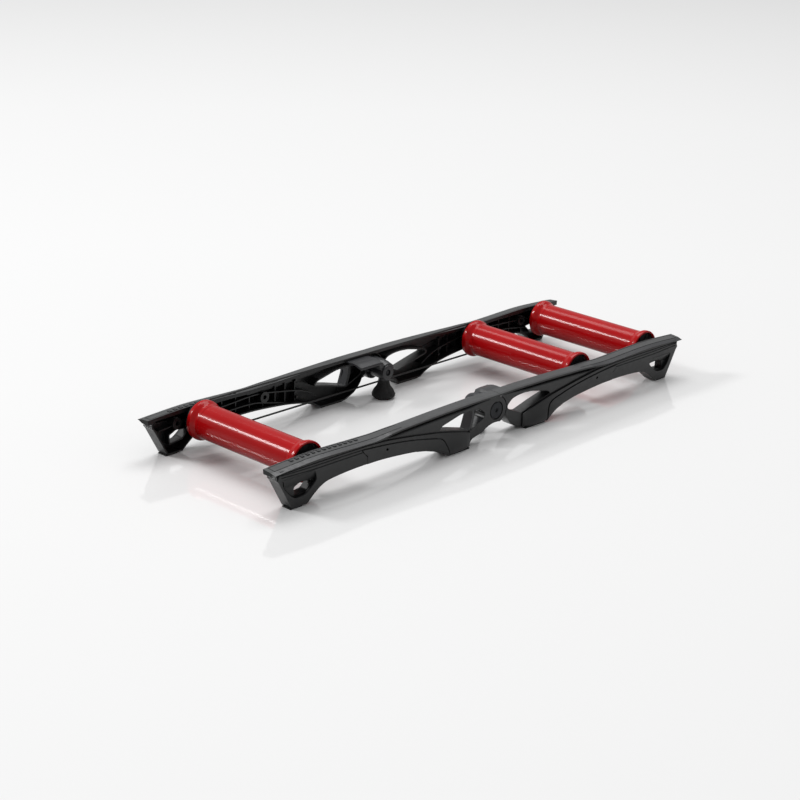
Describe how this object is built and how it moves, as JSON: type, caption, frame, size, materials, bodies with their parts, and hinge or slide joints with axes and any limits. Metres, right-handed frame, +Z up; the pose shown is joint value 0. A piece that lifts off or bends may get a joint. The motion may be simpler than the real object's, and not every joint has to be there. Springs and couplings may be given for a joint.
{
  "type": "bike rollers",
  "caption": "Folding bike rollers: two hinged side rails carry flared drums on axles, with a round belt from the front drum to the middle one, for riding in place.",
  "frame": {"origin": "on the floor, at the middle of the length, the width and the hinge axis", "axes": "+X runs from the front drum to the rear pair of drums, +Y to the side of the belt, +Z up"},
  "size_m": [1.378, 0.462, 0.1171],
  "materials": {
    "nylon_black": "charcoal black moulded nylon, soft sheen",
    "red_drum": "red, high gloss",
    "cap_black": "black moulded plastic, matt",
    "rubber": "black rubber, matt",
    "steel": "zinc plated steel",
    "black_steel": "black oxide steel",
    "bronze": "sintered bronze"
  },
  "bodies": {
    "rear_frame": {"rail_rear_left": "nylon_black", "rail_rear_right": "nylon_black", "end_pad_rear_left": "rubber", "end_pad_rear_right": "rubber", "mid_pad_rear_left": "rubber", "mid_pad_rear_right": "rubber", "hinge_bracket_left": "nylon_black", "bracket_screw_left_1": "black_steel", "bracket_screw_left_2": "black_steel", "bracket_screw_left_3": "black_steel", "centre_pad_left": "rubber", "hinge_pin_left": "black_steel", "hinge_nut_left": "steel", "hinge_bush_right": "bronze", "middle_axle": "steel", "middle_axle_nut_left": "steel", "middle_axle_nut_right": "steel", "rear_axle": "steel", "rear_axle_nut_left": "steel", "rear_axle_nut_right": "steel", "drive_belt": "rubber"},
    "front_frame": {"rail_front_left": "nylon_black", "rail_front_right": "nylon_black", "end_pad_front_left": "rubber", "end_pad_front_right": "rubber", "mid_pad_front_left": "rubber", "mid_pad_front_right": "rubber", "hinge_bracket_right": "nylon_black", "bracket_screw_right_1": "black_steel", "bracket_screw_right_2": "black_steel", "bracket_screw_right_3": "black_steel", "centre_pad_right": "rubber", "hinge_pin_right": "black_steel", "hinge_nut_right": "steel", "hinge_bush_left": "bronze", "front_axle": "steel", "front_axle_nut_left": "steel", "front_axle_nut_right": "steel"},
    "front_drum": {"front_drum_tube": "red_drum", "front_collar_left": "red_drum", "front_collar_right": "red_drum", "front_cap_left": "cap_black", "front_cap_right": "cap_black", "front_bearing_left": "steel", "front_bearing_right": "steel"},
    "middle_drum": {"middle_drum_tube": "red_drum", "middle_collar_left": "red_drum", "middle_collar_right": "red_drum", "middle_cap_left": "cap_black", "middle_cap_right": "cap_black", "middle_bearing_left": "steel", "middle_bearing_right": "steel"},
    "rear_drum": {"rear_drum_tube": "red_drum", "rear_collar_left": "red_drum", "rear_collar_right": "red_drum", "rear_cap_left": "cap_black", "rear_cap_right": "cap_black", "rear_bearing_left": "steel", "rear_bearing_right": "steel"}
  },
  "joints": [
    {"name": "fold", "type": "hinge", "parent": "rear_frame", "child": "front_frame", "pos_m": [0, 0, 0.066], "axis": [0, -1, 0], "range_deg": [0, 94], "deforming": ["drive_belt"]},
    {"name": "front_drum_spin", "type": "hinge", "parent": "front_frame", "child": "front_drum", "pos_m": [-0.548, 0, 0.0707], "axis": [0, 1, 0], "continuous": true},
    {"name": "middle_drum_spin", "type": "hinge", "parent": "rear_frame", "child": "middle_drum", "pos_m": [0.347, 0, 0.0707], "axis": [0, 1, 0], "continuous": true},
    {"name": "rear_drum_spin", "type": "hinge", "parent": "rear_frame", "child": "rear_drum", "pos_m": [0.606, 0, 0.0707], "axis": [0, 1, 0], "continuous": true}
  ],
  "couplings": [
    {"joint": "front_drum_spin", "follows": "middle_drum_spin", "ratio": 1}
  ]
}
